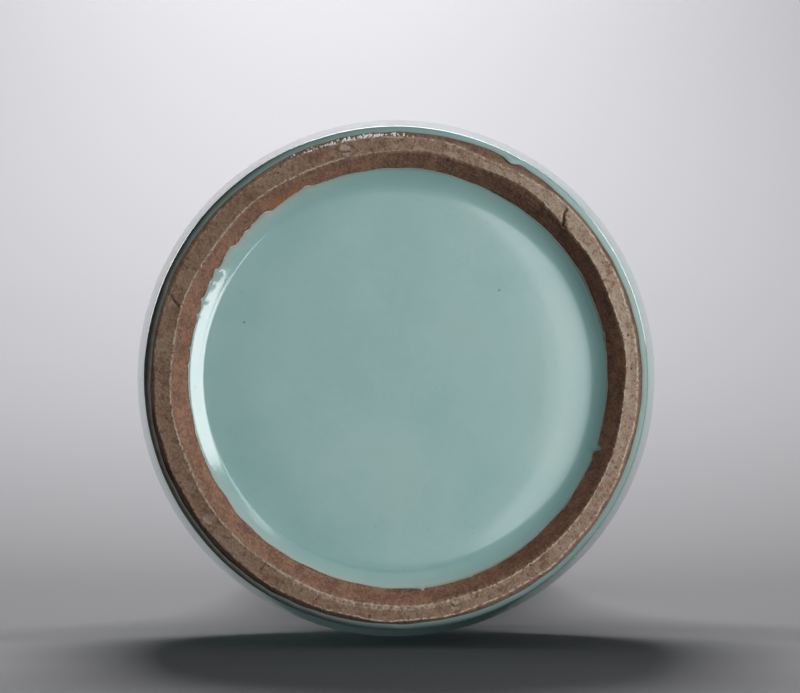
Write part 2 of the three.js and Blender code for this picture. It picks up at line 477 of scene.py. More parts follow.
def readPoints(piece):
    points = np.empty(len(piece.data.vertices) * 3)
    piece.data.vertices.foreach_get("co", points)
    return points.reshape(-1, 3)


def writePoints(piece, points):
    piece.data.vertices.foreach_set("co", points.ravel())
    piece.data.update()


def toRound(points):  # radius and height in mm, and the angle anticlockwise from the photo's right
    x = points @ np.array(photoRight)
    y = points @ np.array(photoUp)
    return np.hypot(x, y) / mm, np.degrees(np.arctan2(y, x)) % 360, points[:, 2] / mm


def fromRound(radius, angle, height):
    x = radius * np.cos(np.radians(angle))
    y = radius * np.sin(np.radians(angle))
    return mm * (np.outer(x, photoRight) + np.outer(y, photoUp) + np.outer(height, alongAxis))


def near(angle, centre, reach):  # 1 at the centre, falling smoothly to 0 at the reach, in degrees
    away = np.abs((angle - centre + 180) % 360 - 180)
    share = np.clip(1 - away / reach, 0, 1)
    return share * share * (3 - 2 * share)


def ease(value, low, high):
    share = np.clip((value - low) / (high - low), 0, 1)
    return share * share * (3 - 2 * share)


def bell(away, width):  # 1 at the middle of a band
    return np.exp(-((away / width) ** 2))


compass = np.linspace(0, 360, 2880, endpoint=False)


def wander(angle, seed, low, high):  # an uneven line round the foot, from waves of low to high turns
    draw = np.random.default_rng(seed)
    line = np.zeros(len(compass))
    for turns in range(low, high + 1):
        line += draw.uniform(0.5, 1) * np.sin(np.radians(compass) * turns + draw.uniform(0, math.tau))
    return np.interp(angle, compass, line / line.std(), period=360)


def uneven(angle, waves):  # mm, from waves of (depth, seed, fewest and most turns)
    return sum(depth * wander(angle, *wave) for depth, *wave in waves)


def grain(points, size, seed):  # lumps of about size mm
    spots = points / (size * mm) + seed
    return np.array([noise.noise(spot) for spot in spots.tolist()])


def toLine(points, path):  # mm from each point to a line of (radius, angle) spots, seen from below
    here = points * (1, 1, 0) / mm
    bends = [fromRound(radius, angle, 0)[0] / mm for radius, angle in path]
    closest = np.full(len(here), np.inf)
    for start, end in zip(bends, bends[1:]):
        run = end - start
        share = np.clip((here - start) @ run / (run @ run), 0, 1)
        closest = np.minimum(closest, np.linalg.norm(here - start - share[:, None] * run, axis=1))
    return closest


def toSpot(points, radius, angle, before=0, after=0.1):  # the same to a spot, or to a short line outward
    return toLine(points, [(radius - before, angle), (radius + after, angle)])


# foot ring
foot = {
    "segments": 1440,
    "standingWidth": 5.3,  # flat part of the standing face
    "innerBevel": 0.5,
    "recessLean": 38,  # degrees
    "recessShift": (0.8, -0.1),  # mm right and up: the recess was turned a little off centre
    "dish": 0.16,  # how far the middle of the standing face lies above its edges
    "outerWaves": [(0.16, 3, 4, 30), (0.05, 4, 60, 240)],
    "innerWaves": [(0.22, 5, 3, 16), (0.07, 6, 60, 300)],
    "cuts": [  # where the bevel cuts into the standing face: (angle, reach, depth)
        (64, 22, 1.8),
        (95, 40, 0.45),
        (165, 75, 0.5),
        (228, 55, 0.5),
        (0, 50, 0.45),
        (270, 45, 0.25),
    ],
    "cracks": [  # (half width, depth, spots of radius and angle)
        (0.46, 0.60, [(74.3, 43.1), (75.6, 43.9), (76.6, 44.5), (78.9, 44.6)]),
        (1.1, 0.50, [(74.2, 42.6), (74.9, 43.4)]),
        (0.40, 0.40, [(75.8, 161.8), (77.4, 160.9), (79.2, 159.9)]),
        (0.22, 0.25, [(74.9, 234.2), (77.2, 234.6)]),
        (0.24, 0.25, [(76.2, 283.2), (77.4, 284.2), (77.1, 285.6)]),
        (0.30, 0.45, [(76.3, 102.0), (76.6, 103.8)]),
    ],
    "scars": [  # marks of the pads it was fired on: (radius, angle, size, strength)
        (77.3, 102.5, 2.3, 1.0),
        (77.2, 217.0, 2.1, 0.75),
        (77.3, 284.5, 2.0, 0.6),
        (77.5, 344.0, 1.6, 0.35),
        (77.3, 162.0, 1.7, 0.25),
    ],
    "stains": [(76.9, 162.2, 1.5, 0.4), (79.0, 160.6, 0.8, 0.35), (76.4, 217.0, 2.2, 0.25)],  # dark ones
    "dots": [(74.9, 173.6), (75.0, 187.2), (74.8, 178.4), (75.0, 58.0)],  # dark pits on the ridge
    "flash": (122, 13),  # angle and reach of the clay that flashed orange beside the glaze
}
lean = math.radians(foot["recessLean"])
wallDown = np.array((math.sin(lean), -math.cos(lean)))
wallIn = np.array((wallDown[1], -wallDown[0]))
standingInner = footRadius - foot["standingWidth"]
wallFoot = np.array((standingInner - foot["innerBevel"], foot["innerBevel"]))
ringTopInner = wallFoot - wallDown * (ringTop - foot["innerBevel"]) / math.cos(lean)
ringTopOuter = skin(placeAt(skin, ringTop))
recessShift = np.array(lying(foot["recessShift"][0] * mm, foot["recessShift"][1] * mm, 0))


def between(start, end, count):  # count steps, without the last point
    shares = np.arange(count) / count
    return [np.array(start) * (1 - s) + np.array(end) * s for s in shares]


def footOutline():
    corners = [  # with the steps to the next one
        (ringTopInner, 25),
        (wallFoot, 2),
        ((standingInner - 0.12, 0.12), 2),  # worn inner edge
        ((standingInner + 0.3, 0), 14),
        ((footRadius - 0.25, 0), 2),  # worn outer edge
        ((footRadius + 0.15, 0.15), 4),
        (bevelTop, 5),
        (skin(placeAt(skin, 3.5)), 3),  # under the rolled edge of the glaze
        (ringTopOuter, 3),
    ]
    outline = []
    for (start, count), (end, _) in zip(corners, corners[1:] + corners[:1]):
        outline += between(start, end, count)
    return outline


def footMarks(points, middle):  # cracks and stains, scars, painted shade in the cracks and on the bevel, and how far cracks and scars cut in
    radius, angle, height = toRound(points)
    crack = np.zeros(len(points))
    scar = np.zeros(len(points))
    sunk = np.zeros(len(points))
    # each crack is sunk and painted dark, the dark standing for shade inside it
    for halfWidth, depth, path in foot["cracks"]:
        cut = np.clip(1.35 - toLine(points, path) / halfWidth, 0, 1) * (height < 0.7)
        sunk += depth * cut * (radius < footRadius + 0.2)
        crack = np.maximum(crack, cut)
    for scarRadius, scarAngle, size, strength in foot["scars"]:
        away = toSpot(points, scarRadius, scarAngle, 0.3, 0.3)
        ragged = size * (1 + 0.35 * middle)
        patch = ease(-away, -ragged, -size * 0.45) * (height < 0.4) * strength
        sunk += patch * (0.1 + 0.12 * middle)
        scar = np.maximum(scar, patch)
        rim = bell(away - ragged, 0.3) * (height < 0.4)
        crack = np.maximum(crack, rim * strength * 0.6)
    for stainRadius, stainAngle, size, strength in foot["stains"]:
        away = toSpot(points, stainRadius, stainAngle)
        crack = np.maximum(crack, ease(-away, -size * (1 + 0.4 * middle), -size * 0.3) * strength)
    for dotRadius, dotAngle in foot["dots"]:
        away = toSpot(points, dotRadius, dotAngle)
        crack = np.maximum(crack, np.clip(1.5 - away / 0.3, 0, 1))
    # painted shade on the bevel, strongest at the lower left and weaker on the right
    stained = 0.95 * near(angle, 236, 100).clip(0, 0.75) / 0.75 + 0.5 * near(angle, 20, 110)
    crack = np.maximum(crack, ease(height, 0.08, 0.25) * (radius > standingInner + 3) * stained)
    return crack, scar, sunk


def footWear(points, face, coarse, middle):  # where the clay is dusty and worn, and a painted sheen that makes the standing face paler towards the right
    radius, angle, height = toRound(points)
    # paler towards the right: partly real dust, partly painted sheen of the lit side
    paler = near(angle, 22, 150)
    broken = ease(middle + 0.6 * coarse, -0.35, 0.25)
    innerRidge = bell(radius - standingInner - 0.08, 0.31) * (0.65 + 0.35 * broken)
    outerRidge = bell(radius - footRadius + 0.2, 0.3) * (height < 0.5)
    innerRidge *= 1 - 0.5 * near(angle, 80, 45)
    creamy = 0.6 + 0.7 * paler + 0.6 * near(angle, 275, 55)
    wear = np.maximum(innerRidge * (height < 0.8) * 1.15, outerRidge * creamy * (0.4 + 0.6 * broken))
    crumbling = near(angle, 270, 75) * ease(standingInner - radius, -2.6, -1.2) * (height < 0.5)
    wear = np.maximum(wear, 0.75 * crumbling * (0.6 + 0.4 * broken))
    return np.maximum(wear, face * (0.12 + 0.5 * paler + 0.2 * coarse))


def makeFootRing():
    piece = turnPiece("footRing", footOutline(), foot["segments"])
    points = readPoints(piece)
    radius, angle, height = toRound(points)
    low = height < ringTop - 0.1
    face = ease(radius, standingInner - 0.6, standingInner + 0.3) * (height < 0.2)
    share = np.clip((radius - standingInner) / foot["standingWidth"], 0, 1)
    # edges wander, and the face is narrower where the bevel was cut wider
    outerEdge = uneven(angle, foot["outerWaves"])
    for spot, reach, depth in foot["cuts"]:
        outerEdge -= depth * near(angle, spot, reach)
    innerEdge = uneven(angle, foot["innerWaves"])
    onEdge = ease(radius, standingInner + 1.5, footRadius) * (height < 1.1)
    bevelled = np.clip(1 - (height - 0.15) / 1.05, 0, 1)
    onRidge = ease(-radius, -standingInner - 2.0, -standingInner) * ease(-height, -3.5, -0.2)
    newRadius = radius + outerEdge * onEdge * bevelled + innerEdge * onRidge
    # dished face, granular ridges, drag lines on the recess wall
    coarse = grain(points, 2.6, 11.3)
    middle = grain(points, 1.1, 4.7)
    newHeight = height + face * foot["dish"] * np.sin(math.pi * share) ** 0.7
    newHeight += face * (0.05 * (coarse + 1) + 0.05 * (middle + 0.6).clip(0))
    crumbly = 0.35 + 0.65 * near(angle, 275, 75)
    newHeight += onRidge * crumbly * 0.16 * (middle - 0.15).clip(0) * 3 * (height < 0.6)
    drag = np.sin(height * math.tau / 1.35 + 2.5 * wander(angle, 8, 2, 9)) * 0.05 + 0.05 * coarse
    onWall = ease(height, 0.5, 1.5) * low * (radius < standingInner + 0.2)
    newRadius += onWall * drag * wallIn[0]
    newHeight += onWall * drag * wallIn[1]
    crack, scar, sunk = footMarks(points, middle)
    newHeight += sunk
    newHeight = np.where(height < 1.0, newHeight.clip(0), newHeight)
    shift = ease(-radius, -standingInner - 3.6, -standingInner - 0.6) * low
    writePoints(piece, fromRound(newRadius, angle, newHeight) + shift[:, None] * recessShift)
    wear = footWear(points, face, coarse, middle)
    spot, reach = foot["flash"]
    flash = near(angle, spot, reach) * ease(height, 3.0, 6.5) * low
    paint(piece, wear=wear, scar=scar, crack=crack, flash=flash)
    dress(piece, stoneware, "stoneware", "foot_ring")
    return piece


footRing = makeFootRing()

# glaze in the recess
recess = {
    "segments": 1440,
    "edgeHeight": 6.6,  # where the glaze stops on the recess wall
    "bead": 0.24,
    "slopes": [  # of floor and cove, by radius
        (0, 0), (30, 0.028), (44, 0.056), (54, 0.092), (60, 0.13),
        (63.0, 0.20), (65.0, 0.37), (68.2, 0.60), (69, 0.64),
    ],
    "coveStart": 58.5,
    "floorShift": (-1.2, 0.4),  # mm right and up: the floor's edge lies off centre the other way
    "waves": [(0.28, 21, 2, 7), (0.13, 22, 8, 40)],
    "teeth": [  # steps in the edge: (angle, height in mm, run before and after in degrees)
        (12.5, 0.7, 4, 0.8),
        (115.7, 1.7, 1.6, 8),
        (128.8, 2.0, 1.6, 9),
        (136.5, 0.7, 1.2, 3),
        (142.0, 1.5, 1.2, 5.5),
        (149.4, 1.7, 1.2, 4),
        (153.0, 0.9, 0.9, 2.5),
        (158.0, 1.2, 1.0, 2.5),
        (162.5, 1.3, 0.9, 1.6),
        (171.5, 0.5, 0.5, 2),
        (176.4, 0.6, 0.7, 1.2),
        (276.4, 0.9, 0.6, 0.9),
        (290.0, 0.4, 3, 0.8),
        (322.0, 0.5, 0.7, 4),
    ],
    "tongues": [(340.6, 2.6, 1.0), (276.0, 0.6, 0.8), (84.0, 0.3, 5)],  # angle, length, half width
    "notches": [(338.6, 0.8, 1.2), (118.5, 0.3, 2)],
    "sags": [(188, 0.5, 45), (118, 0.4, 12)],  # where the edge runs lower: angle, length, reach
    "haze": [(250, 100), (130, 45)],  # angle and reach of the paler glaze
    "hazeStrength": 0.85,
}


def edgeReach(angle):  # mm further down the recess wall
    reach = uneven(angle, recess["waves"])
    reach += 0.05 * wander(angle, 23, 60, 300) * (0.5 + near(angle, 150, 60))
    for spot, length, spread in recess["sags"]:
        reach += length * near(angle, spot, spread)
    for spot, height, before, after in recess["teeth"]:
        away = (angle - spot + 180) % 360 - 180
        rise = np.where(away < 0, 1 + away / before, 1 - away / after)
        reach += height * np.clip(rise, 0, 1)
    for spot, length, halfWidth in recess["tongues"]:
        reach += length * near(angle, spot, halfWidth * 1.4) ** 0.8
    for spot, depth, halfWidth in recess["notches"]:
        reach -= depth * near(angle, spot, halfWidth * 1.4)
    return reach


def makeBaseGlaze():
    seatTop = ringTopInner + wallIn * clearance
    edge = seatTop + wallDown * (seatTop[1] - recess["edgeHeight"]) / math.cos(lean)
    bead = []
    for angle in np.linspace(0, math.pi / 2, 8):
        rise = recess["bead"] * (1 - math.cos(angle))
        bead.append(edge + wallIn * recess["bead"] * math.sin(angle) - wallDown * rise)
    # floor and cove by their slope, from the bead in to the middle
    coveEnd = bead[-1][0]
    radii = np.concatenate((
        np.linspace(coveEnd, recess["coveStart"], 22)[1:],
        np.linspace(recess["coveStart"], 44, 12)[1:],
        np.linspace(44, 0, 12)[1:],
    ))
    samples = np.linspace(0, coveEnd, 1200)
    slopes = np.interp(samples, *zip(*recess["slopes"]))
    drop = np.concatenate(((0,), np.cumsum((slopes[1:] + slopes[:-1]) / 2 * np.diff(samples))))
    middle = bead[-1][1] + drop[-1]
    surface = [np.array((r, middle - np.interp(r, samples, drop))) for r in radii]
    print("recess: floor at %.2f mm, clay at %.2f mm" % (middle, recessDepth))
    seatFloor = recessDepth - clearance
    outline = [np.array((0.0, seatFloor)), np.array((seatTop[0], seatFloor)), seatTop]
    outline += between(seatTop, edge, 3)[1:] + bead + surface
    piece = turnPiece("baseGlaze", outline, recess["segments"])
    points = readPoints(piece)
    radius, angle, height = toRound(points)
    reach = edgeReach(angle)
    fromEdge = np.hypot(radius - edge[0], height - edge[1])
    follow = (0.3 + 0.7 * ease(-fromEdge, -recess["bead"] * 1.3, -0.15)) * ease(-fromEdge, -2.6, -0.8)
    follow *= height < seatTop[1] - 0.3
    newRadius = radius + follow * reach * wallDown[0]
    newHeight = height + follow * reach * wallDown[1]
    below = height < seatFloor - 0.2
    ring = 0.005 * np.sin(radius * math.tau / 7.5 + 0.6) * ease(radius, 12, 30)
    newHeight -= below * ring * ease(-radius, -64, -60)
    floorShift = np.array(lying(recess["floorShift"][0] * mm, recess["floorShift"][1] * mm, 0))
    slide = ease(radius, 20, 58)[:, None] * floorShift
    slide += ease(radius, 61, 67)[:, None] * (recessShift - floorShift)
    writePoints(piece, fromRound(newRadius, angle, newHeight) + slide)
    # the glaze edge browner towards the right: clay showing through, made stronger on the right as painted
    # shade
    thin = np.clip(1.3 - fromEdge / 0.35, 0, 1) * (0.3 + 0.7 * near(angle, 0, 110))
    # painted shadow: the recess glaze is darkened towards the right, where the foot ring shades it, over a
    # little thick glaze in the cove
    shaded = near(angle, 0, 95)
    pool = (0.06 + 0.45 * shaded) * ease(radius, recess["coveStart"] + 1, coveEnd - 3) * below
    # painted shade: a dark line along the crease between floor and cove, at the bottom
    crease = bell(radius - 64.3 - 0.3 * wander(angle, 31, 1, 3), 0.6)
    pool = np.maximum(pool, 0.4 * crease * near(angle, 265, 75) * below)
    hazy = sum(near(angle, *spot) for spot in recess["haze"]).clip(0, 1)
    haze = recess["hazeStrength"] * hazy * np.exp(-fromEdge / 1.9)
    paint(piece, thin=thin, pool=pool, haze=haze)
    dress(piece, celadonGlaze, "celadon_glaze", "base_glaze")
    return piece


baseGlaze = makeBaseGlaze()

# glaze outside and inside
coats = {
    "segments": 480,
    "innerSegments": 360,
    "edge": 0.95,  # mm up the bevel, where the outer glaze stops
    "bead": (2.1, 2.0),  # how far its rolled edge swells out and rises
    "beadFade": 2.4,  # mm up the wall in which it thins to a coat
    "throwing": 0.006,  # depth of the throwing rings under the glaze
    "waves": [(0.16, 41, 2, 9), (0.1, 42, 10, 60)],
    "drips": [(61.8, 1.4, 1.6), (150, 0.7, 42), (15, 0.5, 55)],  # angle, length, half width
    "gaps": [(68, -0.35, 5), (55, -0.35, 5), (210, -0.15, 40)],
    "bare": (195, 125, 0.78),  # painted shade that darkens the rolled edge on the lower left, in the colour of clay showing through: angle, reach and strength
    "haze": (15, 115, 0.5),  # and where the edge is paler
}


def makeOuterGlaze():
    edge = np.array((footRadius + coats["edge"] + clearance, coats["edge"]))
    swell, rise = coats["bead"]
    bead = []
    for angle in np.linspace(0, math.pi / 2, 14):
        bead.append(edge + np.array((swell * math.sin(angle), rise * (1 - math.cos(angle)))))
    beadEnd = placeAt(skin, bead[-1][1])
    thick = bead[-1][0] - skin(beadEnd)[0]
    places = np.concatenate((
        beadEnd + np.linspace(0, 1, 12)[1:] ** 1.3 * 0.12,
        np.linspace(beadEnd + 0.12, 1, 42)[1:],
        np.linspace(1, 2, 46)[1:],
        np.linspace(2, atLip, 26)[1:],
    ))
    run = []
    for place in places:
        away = (skin(place)[1] - bead[-1][1]) / coats["beadFade"]
        extra = (thick - coat) * math.exp(-away * away) if place < 0.3 else 0
        run.append(skin(place, -coat - extra))
    back = [skin(place, -clearance) for place in np.linspace(atLip, 0, 46)]
    outline = bead + run + lipRound(lipWall / 2 + coat, 0, crest, 9)[1:]
    outline += lipRound(lipWall / 2 + clearance, crest, 0, 7) + back[1:-1]
    piece = turnPiece("outerGlaze", outline, coats["segments"])
    points = readPoints(piece)
    radius, angle, height = toRound(points)
    line = uneven(angle, coats["waves"])
    for spot, length, halfWidth in coats["drips"] + coats["gaps"]:
        line += length * near(angle, spot, halfWidth * 1.5)
    atEdge = ease(-height, -3.0, -1.0)
    newHeight = height - atEdge * line * 0.7
    newRadius = radius - atEdge * line * 0.7
    # faint throwing rings and a thrown vase's slight unevenness, on the outer face only
    clayLine = np.array([skin(place) for place in np.linspace(0, atLip, 600)])
    proud = radius - np.interp(height, clayLine[:, 1], clayLine[:, 0])
    face = ease(proud, 0.4, 0.7) * ease(height, 12, 30) * ease(-height, -292, -280)
    rings = np.sin(height * math.tau / 9.5 + 1.2 * np.sin(height / 17))
    rings += 0.6 * np.sin(height * math.tau / 5.3)
    newRadius += face * coats["throwing"] * rings
    newRadius += face * 0.10 * (np.sin(np.radians(2 * angle + 40)) * np.sin(height / 60))
    writePoints(piece, fromRound(newRadius, angle, newHeight))
    fromEdge = np.hypot(radius - edge[0], height - edge[1])
    # painted shade: the rolled edge is darkened on its lower left side
    spot, reach, strength = coats["bare"]
    rolled = ease(-height, -7, -3) * near(angle, spot, reach)
    thin = np.maximum(np.clip(1 - fromEdge / 0.3, 0, 1) * 0.8, strength * rolled)
    thin = np.maximum(thin, 0.3 * ease(height, vaseHeight - 4.5, vaseHeight - 1.0))
    pool = 0.7 * ease(height, 1.5, 2.2) * ease(-height, -9, -3.5)
    pool += 0.2 * bell(height - neckHeight, 12)
    spot, reach, strength = coats["haze"]
    haze = strength * ease(-height, -2.2, -1.5) * near(angle, spot, reach)
    paint(piece, thin=thin, pool=pool, haze=haze)
    dress(piece, celadonGlaze, "celadon_glaze", "outer_glaze")
    return piece


def makeInnerGlaze():
    def seat(place):
        return skin(place, wallAt(place) + clearance)

    def surface(place):
        return skin(place, wallAt(place) + coat)

    outline = floorLine(seat, floorHeight + clearance, 8)
    outline += [seat(place) for place in np.linspace(coveTop, atLip, 50)[1:]]
    outline += lipRound(lipWall / 2 + clearance, math.pi, crest, 7)[1:]
    outline += lipRound(lipWall / 2 + coat, crest, math.pi, 9)
    outline += [surface(place) for place in np.linspace(atLip, coveTop, 90)[1:-1]]
    outline += floorLine(surface, floorHeight + coat, 16)[::-1]
    piece = turnPiece("innerGlaze", outline, coats["innerSegments"])
    _, _, height = toRound(readPoints(piece))
    thin = 0.3 * ease(height, vaseHeight - 4.5, vaseHeight - 1.0)
    pool = 0.5 * ease(-height, -floorHeight - 14, -floorHeight - 4)
    paint(piece, thin=thin, pool=pool)
    dress(piece, celadonGlaze, "celadon_glaze", "inner_glaze")
    return piece


outerGlaze = makeOuterGlaze()
innerGlaze = makeInnerGlaze()

# the clay sections and the slip between them, under the glaze
sections = {"segments": 180, "steps": 28}


def makeSections():
    def joint(level, scarf):  # the lower and upper edge of the slip, outside and inside
        outer = [placeAt(skin, level + rise) for rise in (0, thrown["slip"])]
        return outer + [placeAt(clayInside, level + scarf + rise) for rise in (0, thrown["slip"])]

    def wallPair(outerLow, outerHigh, innerLow, innerHigh):
        up = [skin(place) for place in np.linspace(outerLow, outerHigh, sections["steps"])]
        down = [clayInside(place) for place in np.linspace(innerHigh, innerLow, sections["steps"])]
        return up, down

    def film(joint):  # of slip in a joint
        return [skin(joint[0]), skin(joint[1]), clayInside(joint[3]), clayInside(joint[2])]

    belly = joint(bellyHeight, thrown["bellyScarf"])
    neck = joint(neckHeight - thrown["neckJointDrop"], thrown["neckScarf"])
    bodyFoot = placeAt(skin, recessDepth)
    corner = np.array((ringTopInner[0], recessDepth))
    up, down = wallPair(bodyFoot, belly[0], coveTop, belly[2])
    lower = [np.array((0.0, recessDepth)), corner] + up + down
    lower += floorLine(clayInside, floorHeight, 10)[::-1][1:]
    up, down = wallPair(belly[1], neck[0], belly[3], neck[2])
    upper = up + down
    up, down = wallPair(neck[1], atLip, neck[3], atLip)
    lip = lipRound(lipWall / 2, 0, math.pi, 12)[1:-1]
    neckLine = up + lip + down
    footFilm = [ringTopInner, ringTopOuter, skin(bodyFoot), corner]
    for name, outline, material, slotName, node in (
        ("lowerBody", lower, stoneware, "stoneware", "lower_body"),
        ("upperBody", upper, stoneware, "stoneware", "upper_body"),
        ("neckSection", neckLine, stoneware, "stoneware", "neck"),
        ("footSlip", footFilm, lutingSlip, "luting_slip", "foot_slip"),
        ("bellySlip", film(belly), lutingSlip, "luting_slip", "belly_slip"),
        ("neckSlip", film(neck), lutingSlip, "luting_slip", "neck_slip"),
    ):
        dress(turnPiece(name, outline, sections["segments"]), material, slotName, node)


makeSections()

# crumbs of glaze that stuck to the foot
crumbs = {
    "count": 130,
    "angles": (86, 96, 116),  # along the outer edge of the foot, densest at the middle one
    "radius": (79.9, 80.9),
    "inset": (95, 40, 0.35),  # where they sit further in: angle, reach, mm
    "size": (0.18, 0.5),  # mm
    "drops": [(70.9, 157.6, 0.4), (71.2, 170.5, 0.5), (71.0, 183.3, 0.42), (72.6, 226.0, 0.35)],
    "seed": 5,
    "colour": (0.66, 0.64, 0.59, 1),
    "pale": (0.78, 0.76, 0.73, 1),
}


def crumbFinish():
    material, tree = newMaterial("glaze_crumb")
    place = objectPlace(tree)
    milky = cloud(tree, place, 0.3, 2)
    colour = milky.step(0.35, 0.65).blend(crumbs["colour"], crumbs["pale"])
    ceramic(tree, colour, milky * 0.1 + 0.07, milky * 0.03, 0.5)
    return material


def makeCrumbs():
    draw = np.random.default_rng(crumbs["seed"])
    spot, reach, inset = crumbs["inset"]
    spots = []
    for _ in range(crumbs["count"]):
        angle = draw.triangular(*crumbs["angles"])
        radius = draw.uniform(*crumbs["radius"]) - inset * near(angle, spot, reach)
        size = draw.uniform(*crumbs["size"])
        height = max(size + 0.02, (radius + 0.45 - footRadius) * 0.75)
        spots.append((radius, angle, height, size))
    for radius, angle, size in crumbs["drops"]:
        height = (wallFoot[0] - radius) / math.tan(lean) + foot["innerBevel"]
        spots.append((radius, angle, height, size))
    clearSelection()
    made = []
    for radius, angle, height, size in spots:
        where = fromRound(radius, angle, height)[0]
        bpy.ops.mesh.primitive_ico_sphere_add(subdivisions=2, radius=size * mm, location=where)
        crumb = bpy.context.object
        crumb.scale = tuple(draw.uniform(0.7, 1.2, 3))
        crumb.rotation_euler = tuple(draw.uniform(0, math.tau, 3))
        made.append(crumb)
    for crumb in made:
        crumb.select_set(True)
    bpy.context.view_layer.objects.active = made[0]
    bpy.ops.object.join()
    piece = bpy.context.object
    piece.name = "glazeCrumbs"
    piece.data.name = "glazeCrumbs"
    bpy.ops.object.transform_apply(location=True, rotation=True, scale=True)
    bpy.ops.object.shade_smooth()
    dress(piece, crumbFinish(), "celadon_glaze")
    return piece


glazeCrumbs = makeCrumbs()

# table, backdrop, floor and light
studio = {
    "tableSlope": 0.0457,  # the vase rests on its swell, so its axis leans to the table
    "tableDrop": 0.0885,  # m, axis to table at the standing face
    "tableNear": -0.62,
    "tableFar": 0.35,
    "sweepRadius": 0.8,
    "backdropTop": 1.0,
    "halfWidth": 1.7,
    "flag": (0.114, -0.114, 0.17, 0.55),  # width, lowest and highest, and how far away
    "paper": [  # grey by metres along the paper: painted light and shade, darkest where the table turns up into the backdrop
        (0, 0.165), (0.46, 0.165), (0.70, 0.078), (0.97, 0.051), (1.12, 0.05),
        (1.30, 0.072), (1.50, 0.102), (1.67, 0.143), (1.80, 0.172),
    ],
    "paperTint": (1, 0.985, 1.02, 1),
    "floor": (0.66, 0.655, 0.65, 1),
    "floorRadius": 7,
    "floorGap": 0.0006,  # just under the standing face
    "fewLayers": 1.5,  # a view from below the floor passes more clear layers than this
}


def hideFrom(thing, *rays):
    for ray in rays:
        setattr(thing, "visible_" + ray, False)


def oneSided(name, colourOf, underFloor=False):  # seen from its front only, so that no view is shut in
    material, tree = newMaterial(name)
    behind = tree.node("ShaderNodeNewGeometry", None, None, "Backfacing")
    if underFloor:  # and clear above the floor, so that the vase stands on a plain floor there
        direct = tree.node("ShaderNodeLightPath", None, None, "Is Camera Ray")
        layers = tree.node("ShaderNodeLightPath", None, None, "Transparent Depth")
        behind = (behind + direct * (layers < studio["fewLayers"])).clamped()
    paper = tree.node("ShaderNodeBsdfPrincipled", None, {"Base Color": colourOf(tree), "Roughness": 0.9})
    clear = tree.node("ShaderNodeBsdfTransparent")
    shade(tree, tree.node("ShaderNodeMixShader", None, {0: behind, 1: paper, 2: clear}))
    return material


def paperColour(tree):  # paper painted from dark grey to white along its run, as painted light and shade
    return painted(tree, "tone").blend((0, 0, 0, 1), studio["paperTint"])


def makeSheet(name, line, underFloor):  # paper along spots of (height, distance) as the vase lies
    sheet = drawLine(name, [lying(-studio["halfWidth"], spot.x, spot.y) for spot in line])
    across = photoRight * 2 * studio["halfWidth"]
    bpy.ops.mesh.extrude_region_move(TRANSFORM_OT_translate={"value": across})
    selectAll()
    bpy.ops.mesh.normals_make_consistent(inside=False)
    setMode("OBJECT")
    if sheet.data.polygons[0].normal.dot(photoUp) < 0:
        sheet.data.flip_normals()
    bpy.ops.object.shade_smooth()
    sheet.data.materials.append(oneSided(name + "Paper", paperColour, underFloor))
    hideFrom(sheet, "shadow", "diffuse")
    return sheet


def makeSweep():
    slopeAngle = math.atan(studio["tableSlope"])

    def flatRun(start, end, count):
        run = np.linspace(start, end, count)
        return [Vector((-studio["tableDrop"] - studio["tableSlope"] * z, z)) for z in run]

    table = flatRun(studio["tableNear"], -studio["floorGap"], 16)  # in front of the floor
    rise = flatRun(-studio["floorGap"], studio["tableFar"], 12)
    hinge = rise[-1]
    outward = Vector((math.cos(slopeAngle), math.sin(slopeAngle)))  # up from the table, as (y, z)
    forward = Vector((-math.sin(slopeAngle), math.cos(slopeAngle)))
    for turn in np.linspace(0, math.pi / 2, 41)[1:]:
        curve = forward * math.sin(turn) + outward * (1 - math.cos(turn))
        rise.append(hinge + studio["sweepRadius"] * curve)
    wallFrom = rise[-1]
    for step in np.linspace(0, studio["backdropTop"], 9)[1:]:
        rise.append(wallFrom + outward * step)
    front = makeSheet("table", table, False)
    hideFrom(front, "glossy")  # the glaze mirrors the room in front, not the paper
    back = makeSheet("backdrop", rise, True)
    line = table + rise[1:]
    steps = [(b - a).length for a, b in zip(line, line[1:])]
    lengths = np.concatenate(((0,), np.cumsum(steps)))
    spots = np.array([(spot.x, spot.y) for spot in line])
    for sheet in (front, back):
        points = readPoints(sheet)
        seen = np.stack((points @ np.array(photoUp), points @ np.array(alongAxis)), 1)
        nearest = np.linalg.norm(seen[:, None] - spots[None], axis=2).argmin(1)
        # the painted light and shade along the paper
        paint(sheet, tone=np.interp(lengths[nearest], *zip(*studio["paper"])))
    return [front, back]


def makeFlag():  # a card behind the vase that keeps the far softbox's light from under it
    clearSelection()
    bpy.ops.mesh.primitive_plane_add(size=1)
    flag = bpy.context.object
    flag.name = "flag"
    width, low, high, away = studio["flag"]
    flag.scale = (width, high - low, 1)
    flag.matrix_world = facing(lying(0, (low + high) / 2, away), alongAxis) @ flag.matrix_basis
    bpy.ops.object.transform_apply(location=True, rotation=True, scale=True)
    hideFrom(flag, "camera", "diffuse", "glossy")


def makeFloor():
    clearSelection()
    under = (0, 0, -studio["floorGap"])
    disc = {"vertices": 96, "radius": studio["floorRadius"], "fill_type": "NGON"}
    bpy.ops.mesh.primitive_circle_add(location=under, **disc)
    floor = bpy.context.object
    floor.name = "floor"
    setMode("EDIT")
    selectAll()
    # two layers, so that the paper knows a view through the floor from one through the paper
    bpy.ops.mesh.duplicate_move(TRANSFORM_OT_translate={"value": under})
    setMode("OBJECT")
    floor.data.materials.append(oneSided("floor", lambda tree: studio["floor"]))
    hideFrom(floor, "diffuse", "glossy", "shadow")
    return floor


